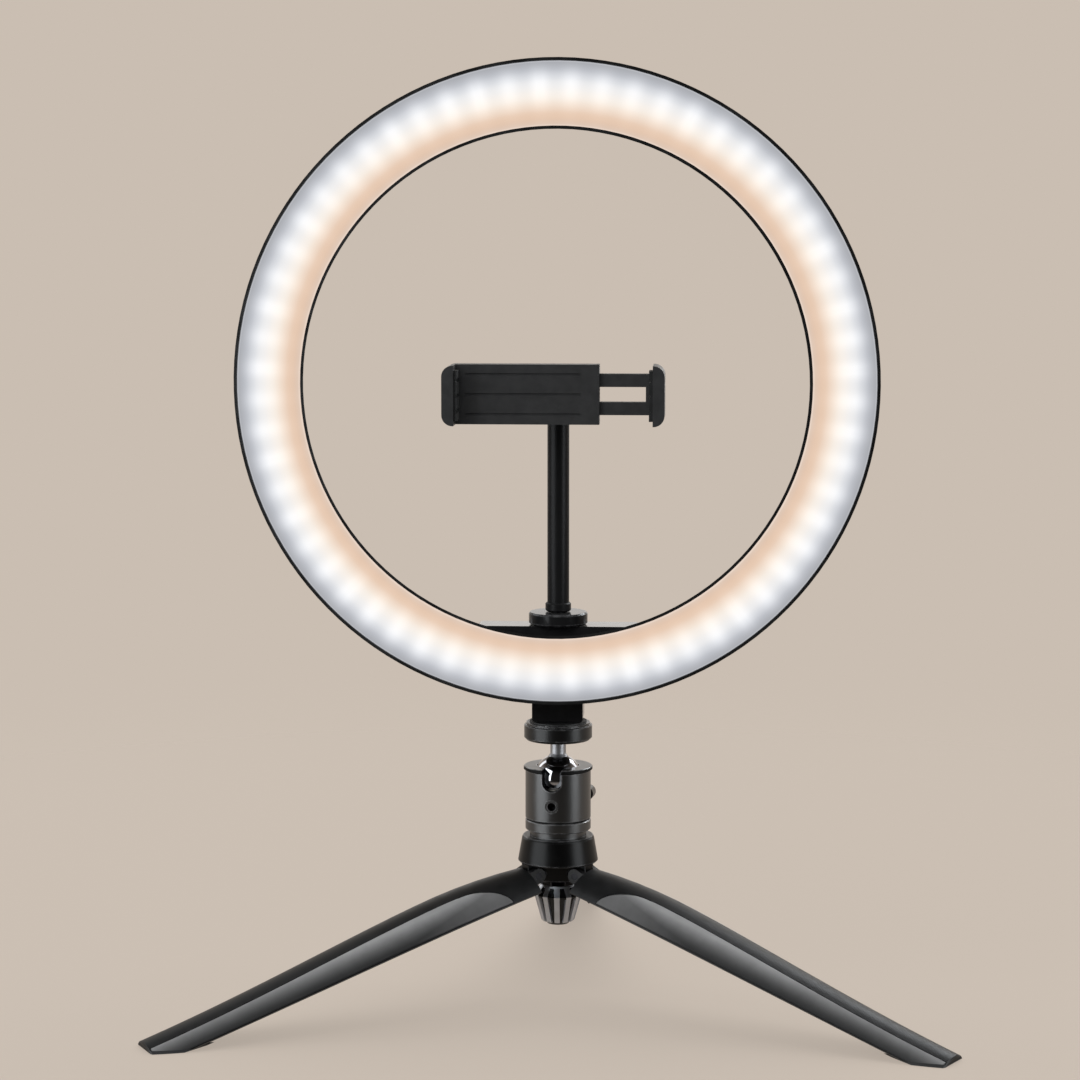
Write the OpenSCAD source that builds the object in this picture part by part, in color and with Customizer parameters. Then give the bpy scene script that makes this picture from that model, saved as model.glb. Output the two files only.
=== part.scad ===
// Ring light on a folding table tripod with a ball head and a phone holder.
// Units are millimetres. +Z is up, the lamp faces -Y and the floor is z = 0.
// The origin is the centre of the footprint, so the tripod's own axis stands at y = axis_y.

/* [Lamp ring] */
// Outside diameter of the lamp ring
ring_d = 260; // [220:1:320]
// Width of the ring between its outer and inner rims
ring_w = 28.2; // [25:0.1:36]
// Depth of the ring, front rim to back
ring_depth = 18; // [16:0.5:26]
// Wall of the ring's housing
shell_wall = 1.8; // [1.5:0.1:2.4]
// Width of the thin black rim that stays visible round the diffuser
rim_w = 1.2; // [0.8:0.1:1.6]
// Distance from the tripod's axis to the ring's back
ring_setback = 7; // [6:0.5:10]
// How far the housing's inner side leans outward towards the back
inner_draft = 2.8; // [1:0.1:4]
// How far the housing's outer side leans inward towards the back
outer_draft = 1.6; // [0.5:0.1:3]
// Rounding of the housing's back edges
back_round = 4.5; // [2:0.5:5]

/* [Light source] */
// Thickness of the diffuser's face
diffuser_t = 2; // [1.4:0.1:2.6]
// Depth of the diffuser's two snap skirts
skirt_depth = 4.5; // [3:0.5:6]
// Thickness of the LED board
board_t = 1.6; // [1:0.1:2]
// Distance from the front rim to the LED board
board_depth = 9; // [8:0.5:10]
// LEDs in each of the two rows
led_count = 60; // [36:1:72]
// Side of one LED chip
led_side = 3.4; // [2:0.1:4]
// Height of one LED chip
led_h = 1.1; // [0.6:0.1:1.6]
// How far the cool row lies inside the ring's outer edge
cool_inset = 10.5; // [9:0.1:11]
// How far the warm row lies outside the ring's inner edge
warm_inset = 6.6; // [6.4:0.1:7]

/* [Housing screws] */
// Number of screws that hold the board from behind
board_screws = 8; // [4:1:10]
// Radius of the board screws' shanks
screw_r = 1.25; // [1:0.05:1.5]
// Radius of the board screws' heads
screw_head_r = 2.3; // [2:0.1:2.6]
// Height of the board screws' heads
screw_head_h = 1.4; // [1:0.1:1.6]
// Radius of the cable gland's collar
gland_r = 4.4; // [3.5:0.1:5]
// Length of the cable gland behind the housing
gland_len = 7; // [5:0.5:10]
// Radius of the gland's cable bore
gland_bore_r = 2.1; // [1.5:0.1:2.5]

/* [Lamp bracket] */
// Height of the bracket, from the platform to the top of its bar
bracket_h = 40; // [39:0.5:60]
// Width of the neck block under the ring
neck_w = 21; // [18:0.5:26]
// How far the bracket reaches behind the tripod's axis
bracket_back = 8; // [7:0.5:10]
// Width of the bar behind the ring's inner edge
bar_w = 68; // [50:1:80]
// Height of that bar
bar_h = 9; // [7:0.5:12]
// How far the bar's top stands above the ring's inner edge
bar_rise = 1.3; // [0.8:0.1:3]
// Thickness of the saddle screwed to the ring's back
saddle_t = 4; // [3:0.5:4.5]
// Half of the angle that the saddle covers
saddle_half = 17; // [14:1:20]
// Outer radius of the brass inserts
insert_r = 4.4; // [4:0.1:5]
// Depth of the brass inserts
insert_h = 11; // [9:0.5:12]

/* [Threads and pins] */
// Radius of the quarter-inch camera screws
quarter_r = 3.175; // [3.1:0.025:3.25]
// Radial clearance of a turning screw or shaft
run_fit = 0.08; // [0.05:0.01:0.1]
// Radial clearance of a piece that is fixed in its hole
seat_fit = 0.02; // [0.01:0.01:0.05]
// Gap between faces that slide or turn past each other
slide_gap = 0.3; // [0.25:0.05:0.4]

/* [Lock wheel and rod] */
// Diameter of the lock wheel under the rod
wheel_d = 24.3; // [20:0.1:28]
// Thickness of the lock wheel
wheel_t = 5; // [4:0.5:6]
// Radius of the rod's lower knuckle
knuckle_r = 5.3; // [5:0.1:6.5]
// Height of the rod's lower knuckle
knuckle_h = 3.6; // [3:0.1:6]
// Radius of the rod
rod_r = 4.5; // [4:0.1:4.9]
// Bend radius of the rod's elbow
elbow_r = 8; // [7:0.5:9]
// Radius of the ball at the rod's end
rod_ball_r = 6.5; // [6:0.1:6.8]
// Radius of the neck behind that ball
rod_neck_r = 3; // [2.6:0.1:3.2]
// Distance from the rod's axis to the ball's centre
ball_reach = 17; // [17:0.5:20]

/* [Phone holder] */
// Height of the holder's centre above the rod's lower end
rod_h = 91.5; // [70:0.1:100]
// Opening between the two jaw pads
jaw_gap = 76; // [68:1:84]
// Width of the holder's fixed body, from its jaw pad to its open end
body_w = 56; // [52:1:60]
// Height of the holder
holder_h = 24; // [23.5:0.5:30]
// Thickness of the holder's body
body_t = 8; // [7.5:0.5:10]
// How far the jaws reach in front of the body
jaw_depth = 11; // [9:0.5:14]
// Thickness of a jaw outside its pad
jaw_t = 4.7; // [4:0.1:6]
// Thickness of a jaw pad
pad_t = 1.5; // [1:0.1:2]
// Thickness of the sliding tongue
tongue_t = 4; // [3.6:0.1:4.2]
// Height of the sliding tongue
tongue_h = 16.5; // [15:0.5:18]
// Travel of the moving jaw towards closed
jaw_close = 20; // [15:1:20]
// Travel of the moving jaw towards open
jaw_open = 12; // [8:1:14]
// Outer radius of the socket nut
nut_r = 11.6; // [11:0.1:12]

/* [Ball head] */
// Turn of the head about the upright axis; positive brings its notch to the left
head_turn = 9; // [-30:1:30]
// Radius of the ball
ball_r = 9.75; // [9:0.05:10]
// Height of the ball's centre above the head's underside
ball_rise = 17.2; // [16.7:0.1:19]
// Radius of the ball's neck
ball_neck_r = 3.25; // [3:0.05:3.6]
// Wall of the head's body round the ball
head_wall = 3.55; // [3:0.05:4.5]
// Width of the lip round the head's rim
lip_w = 0.7; // [0.4:0.1:1]
// Height of the rim above the ball's centre
rim_rise = 5; // [4.5:0.1:5.5]
// Radius of the U notch
notch_r = 4.1; // [3.9:0.1:4.5]
// Height of the clamp screw's axis above the head's underside
clamp_rise = 7; // [6.4:0.1:7.2]
// Radius of the clamp screw
clamp_r = 2; // [1.6:0.1:2.1]
// Radius of the seat screw opposite the clamp
seat_screw_r = 1.75; // [1.5:0.05:2]
// How deep the seat screw sits in its hole
screw_sink = 3; // [1:0.1:3.5]
// Length of the clamp wing, tip to tip
wing_len = 23; // [18:0.5:26]
// Height of the wing's rounded tips
wing_h = 6; // [5:0.2:7]
// How far the platform disc reaches beyond the head's body
platform_over = 0.5; // [0:0.1:3]
// Thickness of the platform disc with its rubber pad
platform_h = 7.9; // [7:0.1:9]
// Distance from the ball's centre to the platform disc's underside
neck_len = 16; // [15:0.1:18]
// Thickness of the platform's rubber pad
rubber_t = 1.2; // [0.8:0.1:1.6]

/* [Tripod hub] */
// Height of the collar's underside above the hinge pins
collar_rise = 4.4; // [4.2:0.1:6]
// Height of the collar
collar_h = 11; // [9.5:0.5:13]
// Wall of the collar at its lower edge
collar_wall = 4.75; // [4:0.05:6]
// How much the collar narrows towards its top
collar_taper = 1.95; // [1:0.05:2.5]
// How much the hinge core narrows below the collar
core_taper = 2.8; // [2:0.1:3]
// Depth of the hinge core's lower end below the hinge pins
core_drop = 2.9; // [2.4:0.1:3.2]
// Height of the narrow boss on top of the collar
boss_h = 2.7; // [2:0.1:4]
// Height of the visible part of that band
band_h = 4.2; // [3.5:0.1:5]

/* [Centre knob] */
// Gap between the knob and the hinge core above it
knob_gap = 2.4; // [1:0.1:3]
// Height of the flare under the knob's top ring
knob_flare = 3.6; // [2.5:0.1:4]
// Height of the ribs below the flare
knob_len = 12; // [9:0.1:14]
// Largest radius of the ribbed knob
knob_r = 10; // [9:0.1:10.2]
// Radius of the ribbed knob's lower end
knob_low_r = 7; // [6:0.1:8]
// Height of the rounded tip below the ribs
knob_tip_h = 1.2; // [0.8:0.1:2]
// Number of ribs on the knob
rib_count = 12; // [8:1:14]
// Width of one rib
rib_w = 2.2; // [1.6:0.1:2.6]
// How far the ribs stand out of the knob's core
rib_out = 1.3; // [0.8:0.1:1.6]

/* [Legs] */
// Distance from the tripod's axis to a leg's hinge pin
pivot_r = 12; // [11.8:0.1:12.4]
// Height of the hinge pins
pivot_z = 52.6; // [52.2:0.1:52.8]
// Length of a leg below its hinge pin
leg_len = 178; // [150:0.5:220]
// How far the closed grip covers the hinge ears
leg_cover = 0.4; // [0.2:0.1:1]
// How much the closed grip swells from its root to its widest place
leg_bulge = 3; // [2:0.1:4]
// How much the closed grip narrows from there to the feet
leg_taper = 5.2; // [4:0.1:6]
// Distance from the hinge to the widest place of the grip
bulge_s = 43; // [36:1:50]
// Wall of a leg
leg_wall = 2.4; // [2:0.1:2.8]
// Half of the angle that one leg covers round the closed grip
leg_half = 59.2; // [58:0.1:59.4]
// Half of the width of the bare strip along a leg's back
strip_w = 5.8; // [4.5:0.1:7]
// Angle of the bare edge below an inlay
edge_angle = 1.7; // [1.2:0.1:3]
// Thickness of the grip inlays
inlay_t = 1.1; // [0.8:0.1:1.2]
// Gap of the seam round an inlay
seam = 0.25; // [0.15:0.05:0.4]
// Distance from the hinge to the inlay's round end
inlay_s = 17; // [15:0.5:22]
// Length of the inlay's round end
dome_len = 20; // [14:1:24]
// Length of the rubber foot
foot_len = 18; // [14:0.5:22]
// Depth of the rubber foot inside the leg's end
foot_wall = 6.5; // [5.5:0.5:7]
// Depth of the flat that a foot stands on
foot_flat = 3.5; // [2:0.1:5]
// Thickness of the sole under the leg's cut end
sole_t = 1; // [0.7:0.1:2]
// Width of the rim round a leg's end face
end_rim = 0.8; // [0.6:0.1:1.5]
// Thickness of a leg's hinge ears
ear_t = 2.9; // [2.4:0.1:3]
// Radius of a leg's hinge ears
ear_r = 3.2; // [3:0.1:3.3]
// Thickness of the hub's hinge lugs
lug_t = 6; // [5:0.1:6.5]
// Radius of the hub's hinge lugs
lug_r = 3.4; // [3.2:0.1:3.5]
// Radius of the hinge pins
pin_r = 1.5; // [1.2:0.05:1.7]

/* [Hidden] */
$fn = 64;
FINE = 180;
RING = 240;
LEG_LEFT = 210;
LEG_RIGHT = -30;
LEG_BACK = 90;

// Tripod hub and ball head, stacked up from the hinge pins
core_z = pivot_z - core_drop;
core_r = pivot_r - 0.1;
core_low_r = core_r - core_taper;
collar_z = pivot_z + collar_rise;
collar_r = core_r + collar_wall;
collar_top_r = collar_r - collar_taper;
collar_top = collar_z + collar_h;
core_top = collar_top - 4;
band_z = collar_top + boss_h;
band_top = band_z + band_h;
head_z = band_top + slide_gap;
spigot_z = head_z + 1.8;
ball_z = head_z + ball_rise;
socket_ball_r = ball_r + slide_gap;
head_r = socket_ball_r + head_wall;
rim_z = ball_z + rim_rise;
lip_z = rim_z - 1.8;
seat_z = spigot_z + slide_gap;
seat_top = ball_z - 4;
clamp_z = head_z + clamp_rise;
clamp_tip = 4;
knob_back = head_r + 1.6;
platform_z = ball_z + neck_len;
platform_r = head_r + platform_over;
stack_z = platform_z + platform_h;
stud_top = stack_z + insert_h - 2;

// Ring lamp, measured out from its centre and back from its front rim
ring_r = ring_d / 2;
hole_r = ring_r - ring_w;
mid_r = (ring_r + hole_r) / 2;
front_y = -ring_setback - ring_depth;
back_t = ring_depth - shell_wall;
board_back = board_depth + board_t;
cool_r = ring_r - cool_inset;
warm_r = hole_r + warm_inset;
post_r = (cool_r + warm_r) / 2;
boss_r = screw_r + 2;
first_screw = 180 / board_screws;
screw_step = 360 / board_screws;
nut_h = 1.6;
gland_angle = 32;
rebate_w = shell_wall - rim_w;
bevel = 0.6;

// Bracket, from the platform up to the lock wheel
block_z = stack_z + 0.2;
bar_top = block_z + bracket_h;
ring_z = bar_top - bar_rise + hole_r;
bracket_front = ring_setback - 0.2;
saddle_out = ring_r - outer_draft - back_round - 0.5;
saddle_in = hole_r + inner_draft + back_round - 0.5;
saddle_r = (saddle_out + saddle_in) / 2;
saddle_angles = [-13, -7.5, 7.5, 13];
thread_r = quarter_r + run_fit;
wheel_z = bar_top + slide_gap;
rod_z = wheel_z + wheel_t + slide_gap;
rod_bore = 6;

// Phone holder, measured from the rod's axis towards the front
holder_z = rod_z + rod_h;
elbow_z = holder_z - elbow_r;
cup_gap = slide_gap;
cup_r = rod_ball_r + cup_gap;
lip_y = 2.9;
socket_r = rod_ball_r + 2.5;
plate_back = -ball_reach - cup_r - 0.7;
plate_front = plate_back - body_t;
jaw_front = plate_front - jaw_depth;
pad_x = jaw_gap / 2;
jaw_x = pad_x + pad_t;
tip_x = jaw_x + jaw_t;
body_end = body_w - pad_x;
channel_t = tongue_t + 2 * slide_gap;
channel_h = tongue_h + 2 * slide_gap;
channel_y = (plate_back + plate_front) / 2;
tongue_end = body_end - 31;
window_h = 6;
window_end = tongue_end + 5;
peg_x = body_end - 3;
spring_r = 1.7;
jaw_round = 4.4;

// Centre knob, hung under the hinge core
knob_top_z = core_z - knob_gap;
knob_wide_z = knob_top_z - knob_flare;
knob_low_z = knob_wide_z - knob_len;
knob_tip_z = knob_low_z - knob_tip_h;
knob_top_r = knob_r - 2.5;
knob_tip_r = knob_low_r - rib_out - knob_tip_h;
rib_z = knob_wide_z - 0.6;

// Legs, measured down from the hinge pins as on the closed grip
root_s = 3.5;
foot_s = leg_len - foot_len;
toe = 0.5;
leg_steps = 18;
leg_root_r = pivot_r + ear_r + leg_cover;
leg_max_r = leg_root_r + leg_bulge;
leg_tip_r = leg_max_r - leg_taper;
ear_in = lug_t / 2 + 0.15;
hinge_w = 2 * (ear_in + ear_t);
far = 3 * leg_len;

// Closed grip radius at a distance s below the hinge pins
function leg_r(s) = s < bulge_s
    ? leg_max_r - leg_bulge * pow((bulge_s - s) / (bulge_s - root_s), 2)
    : leg_max_r - leg_taper * pow(sin(90 * (s - bulge_s) / (leg_len - bulge_s)), 1.5)
        - max(0, s - leg_len + toe);

// Evenly spread stations from one distance to another, with one more for the end's chamfer
function stations(a, b) = concat(
    [for (i = [0:leg_steps]) a + (min(b, leg_len - toe) - a) * i / leg_steps],
    b > leg_len - toe ? [b] : []
);

// Slope at which the floor takes foot_flat off the foot's two lower corners
corner_in = pivot_r - leg_tip_r * cos(leg_half);
leg_slope = asin((pivot_z + foot_flat) / norm([leg_len, corner_in])) - atan2(corner_in, leg_len);
fold = 90 - leg_slope;

// Footprint, from the closed grip's tip swung out by the fold angle
function open_radius(x, s) = pivot_r + (x - pivot_r) * cos(fold) + s * sin(fold);
tip_reach = open_radius(leg_r(leg_len), leg_len);
floor_s = leg_len - toe;
floor_x = pivot_r + (floor_s * cos(fold) - pivot_z) / sin(fold);
floor_side = sqrt(pow(leg_r(floor_s), 2) - pow(floor_x, 2));
front_reach = open_radius(floor_x, floor_s) * sin(30) + floor_side * cos(30);
axis_y = (front_reach - tip_reach) / 2;

// ---------------------------------------------------------------- placing

module on_axis() {
    translate([0, axis_y, 0]) children();
}

// Local Z runs from the lamp's front to its back
module in_ring() {
    on_axis() translate([0, front_y, ring_z]) rotate([-90, 0, 0]) children();
}

// Local X points out of the ring at an angle counted from its lowest point
module round_ring(angle, r) {
    rotate([0, 0, 90 - angle]) translate([r, 0, 0]) children();
}

module in_head() {
    on_axis() rotate([0, 0, -head_turn]) children();
}

// Local Z runs from the front of the clamp screw's axis to its back
module on_clamp(y = 0) {
    in_head() translate([0, y, clamp_z]) rotate([-90, 0, 0]) children();
}

// Local Z runs from front to back through the holder's ball
module on_socket(y = 0) {
    on_axis() translate([0, y, holder_z]) rotate([-90, 0, 0]) children();
}

// An outline in X and Z, drawn out between two places on Y
module between(y0, y1) {
    translate([0, y1, 0]) rotate([90, 0, 0]) linear_extrude(y1 - y0) children();
}

// ---------------------------------------------------------------- shapes

module tube(r, bore, h) {
    difference() {
        cylinder(r = r, h = h);
        translate([0, 0, -1]) cylinder(r = bore, h = h + 2);
    }
}

// A disc with both edges chamfered
module disc(r, h, c) {
    rotate_extrude($fn = FINE) polygon([
        [0, 0], [r - c, 0], [r, c], [r, h - c], [r - c, h], [0, h]
    ]);
}

// A rectangle between two corners with round corners
module soft_square(low, high, r) {
    union() {
        translate([low[0] + r, low[1]]) square([high[0] - low[0] - 2 * r, high[1] - low[1]]);
        translate([low[0], low[1] + r]) square([high[0] - low[0], high[1] - low[1] - 2 * r]);
        for (x = [low[0] + r, high[0] - r], y = [low[1] + r, high[1] - r]) {
            translate([x, y]) circle(r = r);
        }
    }
}

// Points of an arc for a section
function arc(cx, cy, r, a0, a1, n = 6) = [
    for (i = [0:n]) [cx + r * cos(a0 + (a1 - a0) * i / n), cy + r * sin(a0 + (a1 - a0) * i / n)]
];

// ---------------------------------------------------------------- lamp

// Outline of the housing's section; inset is taken off every outside face
function housing_outline(inset, front) = let (
    r = back_round - inset / 2,
    back = ring_depth - inset,
    outer = ring_r - inset,
    inner = hole_r + inset,
    outer_back = outer - outer_draft,
    inner_back = inner + inner_draft
) concat(
    [[inner, front], [outer, front]],
    arc(outer_back - r, back - r, r, 0, 90),
    arc(inner_back + r, back - r, r, 90, 180)
);

module housing_section() {
    difference() {
        polygon(housing_outline(0, 0));
        polygon(housing_outline(shell_wall, diffuser_t));
        translate([hole_r + rim_w, -1]) square([ring_w - 2 * rim_w, diffuser_t + 1.01]);
    }
}

// Stand-offs for the board, and bosses for the bracket's screws
module housing_bosses() {
    for (i = [0:board_screws - 1]) {
        round_ring(first_screw + i * screw_step, post_r)
            translate([0, 0, board_back]) cylinder(r = boss_r, h = back_t - board_back + 0.5);
    }
    for (a = saddle_angles) {
        round_ring(a, saddle_r)
            translate([0, 0, board_back + 1]) cylinder(r = boss_r, h = back_t - board_back - 0.5);
    }
}

module rear_housing() {
    color([0.07, 0.07, 0.08]) in_ring() difference() {
        union() {
            rotate_extrude($fn = RING) housing_section();
            housing_bosses();
        }
        for (i = [0:board_screws - 1]) {
            round_ring(first_screw + i * screw_step, post_r) {
                translate([0, 0, board_back - 1]) cylinder(r = screw_r + seat_fit, h = ring_depth);
                translate([0, 0, ring_depth - screw_head_h]) cylinder(r = screw_head_r + 0.15, h = 5);
            }
        }
        for (a = saddle_angles) {
            round_ring(a, saddle_r)
                translate([0, 0, board_back + 2]) cylinder(r = screw_r + seat_fit, h = ring_depth);
        }
        round_ring(gland_angle, mid_r)
            translate([0, 0, back_t - 2]) cylinder(r = gland_r - 1.2 + seat_fit, h = 6);
    }
}

module housing_screws() {
    color("silver") in_ring() for (i = [0:board_screws - 1]) {
        round_ring(first_screw + i * screw_step, post_r) difference() {
            union() {
                translate([0, 0, board_depth - nut_h])
                    cylinder(r = screw_r, h = ring_depth - screw_head_h - board_depth + nut_h + 1);
                translate([0, 0, ring_depth - screw_head_h]) cylinder(r = screw_head_r, h = screw_head_h - 0.2);
            }
            translate([0, 0, ring_depth - 1]) for (turn = [0, 90]) {
                rotate([0, 0, turn]) translate([-1.4, -0.3, 0]) cube([2.8, 0.6, 2]);
            }
        }
    }
}

module board_nuts() {
    color("gainsboro") in_ring() for (i = [0:board_screws - 1]) {
        round_ring(first_screw + i * screw_step, post_r)
            translate([0, 0, board_depth - nut_h]) difference() {
                cylinder(r = screw_r + 1.05, h = nut_h, $fn = 6);
                translate([0, 0, -1]) cylinder(r = screw_r + seat_fit, h = nut_h + 2);
            }
    }
}

module led_board() {
    color("white") in_ring() difference() {
        translate([0, 0, board_depth]) rotate_extrude($fn = RING)
            translate([hole_r + inner_draft + 2, 0])
            square([ring_w - inner_draft - outer_draft - 4, board_t]);
        for (i = [0:board_screws - 1]) {
            round_ring(first_screw + i * screw_step, post_r)
                translate([0, 0, board_depth - 1]) cylinder(r = screw_r + 0.1, h = board_t + 2);
        }
    }
}

module led_row(r) {
    for (i = [0:led_count - 1]) {
        round_ring((i + 0.5) * 360 / led_count, r)
            translate([-led_side / 2, -led_side / 2, board_depth - led_h]) cube([led_side, led_side, led_h]);
    }
}

module leds_cool() {
    color("azure") in_ring() led_row(cool_r);
}

module leds_warm() {
    color("moccasin") in_ring() led_row(warm_r);
}

// Flat opal face with bevelled edges and two skirts that snap inside the housing
module diffuser() {
    inner = hole_r + rim_w + 0.15;
    outer = ring_r - rim_w - 0.15;
    skirt = rebate_w + 0.1;
    color([0.97, 0.96, 0.94]) in_ring() rotate_extrude($fn = RING) difference() {
        polygon([
            [inner + bevel, 0], [outer - bevel, 0], [outer, bevel], [outer, diffuser_t],
            [outer - skirt, diffuser_t], [outer - skirt - 0.6, skirt_depth],
            [inner + skirt + inner_draft * 0.4 + 0.6, skirt_depth], [inner + skirt, diffuser_t],
            [inner, diffuser_t], [inner, bevel]
        ]);
        translate([inner + 3.6, diffuser_t]) square([outer - inner - 5.8, skirt_depth]);
    }
}

module cable_gland() {
    color([0.05, 0.05, 0.05]) in_ring() round_ring(gland_angle, mid_r) difference() {
        union() {
            translate([0, 0, back_t - 1.4]) cylinder(r = gland_r - 1.2, h = shell_wall + 2);
            translate([0, 0, ring_depth]) cylinder(r = gland_r, h = 2);
            translate([0, 0, ring_depth]) cylinder(r1 = gland_r - 0.9, r2 = gland_bore_r + 0.9, h = gland_len);
        }
        translate([0, 0, back_t - 4]) cylinder(r = gland_bore_r, h = gland_len + 20);
        for (i = [0:2]) {
            translate([0, 0, ring_depth + 2.8 + 1.4 * i]) tube(gland_r, gland_bore_r + 0.8, 0.6);
        }
    }
}

// ---------------------------------------------------------------- bracket

// Arc plate against the ring's back, a bar above the inner edge and the neck block below
module lamp_bracket() {
    color([0.12, 0.12, 0.13]) difference() {
        union() {
            in_ring() translate([0, 0, ring_depth]) rotate([0, 0, 90 - saddle_half])
                rotate_extrude(angle = 2 * saddle_half, $fn = RING)
                translate([saddle_in, 0]) square([saddle_out - saddle_in, saddle_t]);
            on_axis() between(-bracket_front, bracket_back) union() {
                soft_square([-bar_w / 2, bar_top - bar_h], [bar_w / 2, bar_top], 2.5);
                soft_square([-neck_w / 2, block_z], [neck_w / 2, bar_top - 1], 1.5);
                polygon([
                    [-bar_w / 2 + 8, bar_top - bar_h + 1], [-neck_w / 2 + 1, bar_top - bar_h - 12],
                    [neck_w / 2 - 1, bar_top - bar_h - 12], [bar_w / 2 - 8, bar_top - bar_h + 1]
                ]);
            }
        }
        on_axis() {
            translate([0, 0, block_z - 1]) cylinder(r = insert_r + seat_fit, h = insert_h + 1);
            translate([0, 0, bar_top - insert_h]) cylinder(r = insert_r + seat_fit, h = insert_h + 1);
        }
        in_ring() for (a = saddle_angles) {
            round_ring(a, saddle_r) {
                translate([0, 0, ring_depth - 1]) cylinder(r = screw_r + 0.1, h = 30);
                translate([0, 0, ring_depth + saddle_t]) cylinder(r = screw_head_r + 0.4, h = 30);
            }
        }
    }
}

module bracket_screws() {
    color("dimgray") in_ring() for (a = saddle_angles) {
        round_ring(a, saddle_r) {
            translate([0, 0, board_back + 2.4]) cylinder(r = screw_r, h = ring_depth + saddle_t - board_back - 2.4);
            translate([0, 0, ring_depth + saddle_t]) difference() {
                cylinder(r = screw_head_r, h = screw_head_h);
                translate([0, 0, 0.6]) cylinder(r = 1, h = 2, $fn = 6);
            }
        }
    }
}

module lower_insert() {
    color("goldenrod") on_axis() translate([0, 0, block_z]) tube(insert_r, thread_r, insert_h);
}

module upper_insert() {
    color("goldenrod") on_axis() translate([0, 0, bar_top - insert_h]) tube(insert_r, thread_r, insert_h);
}

// ---------------------------------------------------------------- rod

module lock_wheel() {
    color([0.1, 0.1, 0.11]) on_axis() translate([0, 0, wheel_z]) difference() {
        disc(wheel_d / 2, wheel_t, 0.6);
        translate([0, 0, -1]) cylinder(r = thread_r, h = wheel_t + 2);
    }
}

module rod_stud() {
    color("silver") on_axis() translate([0, 0, bar_top - insert_h + 1])
        cylinder(r = quarter_r, h = rod_z + rod_bore - (bar_top - insert_h + 1));
}

// Knuckle, straight rod, elbow and the ball on its neck
module holder_rod() {
    color([0.09, 0.09, 0.1]) on_axis() difference() {
        union() {
            translate([0, 0, rod_z]) disc(knuckle_r, knuckle_h, 0.5);
            translate([0, 0, rod_z + 1]) cylinder(r = rod_r, h = elbow_z - rod_z - 1);
            translate([0, -elbow_r, elbow_z]) rotate([90, 0, 90])
                rotate_extrude(angle = 90) translate([elbow_r, 0]) circle(r = rod_r);
            translate([0, -elbow_r, holder_z]) rotate([90, 0, 0]) {
                cylinder(r = rod_r, h = 0.8);
                translate([0, 0, 0.8]) cylinder(r1 = rod_r, r2 = rod_neck_r, h = 1.4);
                cylinder(r = rod_neck_r, h = ball_reach - elbow_r - 2);
            }
            translate([0, -ball_reach, holder_z]) sphere(r = rod_ball_r);
        }
        translate([0, 0, rod_z - 1]) cylinder(r = quarter_r + seat_fit, h = rod_bore + 1.2);
    }
}

// ---------------------------------------------------------------- phone holder

// Ring nut over the slotted socket
module socket_nut() {
    nut_front = -ball_reach - cup_r + 1.3;
    nut_back = -ball_reach + 4.2;
    color([0.13, 0.13, 0.14]) on_socket(nut_front) difference() {
        disc(nut_r, nut_back - nut_front, 0.6);
        translate([0, 0, -1]) cylinder(r = socket_r + run_fit, h = nut_back - nut_front);
        cylinder(r = 7, h = 20);
        for (i = [0:11]) {
            rotate([0, 0, i * 30]) translate([nut_r + 1.2, 0, 1.6]) cylinder(r = 2, h = 20);
        }
    }
}

// Outline of one jaw, seen from the front, on the right-hand side
module jaw_outline() {
    half = holder_h / 2;
    intersection() {
        soft_square([jaw_x - 12, holder_z - half], [tip_x, holder_z + half], jaw_round);
        translate([jaw_x, holder_z - half]) square([jaw_t, holder_h]);
    }
}

module clip_body() {
    half = holder_h / 2;
    color([0.11, 0.11, 0.12]) difference() {
        union() {
            on_axis() {
                between(plate_front, plate_back) intersection() {
                    soft_square([-tip_x, holder_z - half], [tip_x, holder_z + half], jaw_round);
                    translate([-tip_x, holder_z - half]) square([tip_x + body_end, holder_h]);
                }
                mirror([1, 0, 0]) between(jaw_front, plate_back) jaw_outline();
            }
            on_socket(plate_back) cylinder(r = socket_r, h = -ball_reach + lip_y - plate_back);
        }
        on_axis() {
            translate([tongue_end - jaw_close - 1, channel_y - channel_t / 2, holder_z - channel_h / 2])
                cube([body_w, channel_t, channel_h]);
            translate([0, -ball_reach, holder_z]) sphere(r = cup_r);
            for (turn = [45, 135]) {
                translate([0, -ball_reach, holder_z]) rotate([0, turn, 0])
                    translate([-0.6, -1.5, -socket_r - 1]) cube([1.2, 10, 2 * socket_r + 2]);
            }
            for (z = [-8, 0, 8]) {
                translate([-jaw_x + 4, plate_front - 1, holder_z + z - 0.5]) cube([body_w - 10, 1.5, 1]);
            }
        }
    }
    color([0.11, 0.11, 0.12]) on_axis() translate([peg_x, channel_y - channel_t / 2, holder_z])
        rotate([-90, 0, 0]) cylinder(r = 1.2, h = channel_t);
}

// Rubber pad with three grooves, on the inner face of a jaw
module jaw_pad() {
    on_axis() difference() {
        translate([pad_x, jaw_front + 0.8, holder_z - holder_h / 2 + 2])
            cube([pad_t, jaw_depth - 1.2, holder_h - 4]);
        for (z = [-6, 0, 6]) {
            translate([pad_x, jaw_front, holder_z + z]) rotate([-90, 0, 0]) cylinder(r = 0.7, h = jaw_depth);
        }
    }
}

module fixed_pad() {
    color([0.2, 0.2, 0.21]) mirror([1, 0, 0]) jaw_pad();
}

module moving_pad() {
    color([0.2, 0.2, 0.21]) jaw_pad();
}

// Jaw with a framed tongue that slides in the body
module jaw_slider() {
    color([0.12, 0.12, 0.13]) on_axis() {
        between(jaw_front, plate_back) jaw_outline();
        difference() {
            translate([tongue_end, channel_y - tongue_t / 2, holder_z - tongue_h / 2])
                cube([jaw_x - tongue_end + 0.5, tongue_t, tongue_h]);
            translate([window_end, channel_y - tongue_t, holder_z - window_h / 2])
                cube([jaw_x - window_end - 3, 2 * tongue_t, window_h]);
        }
    }
}

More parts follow.
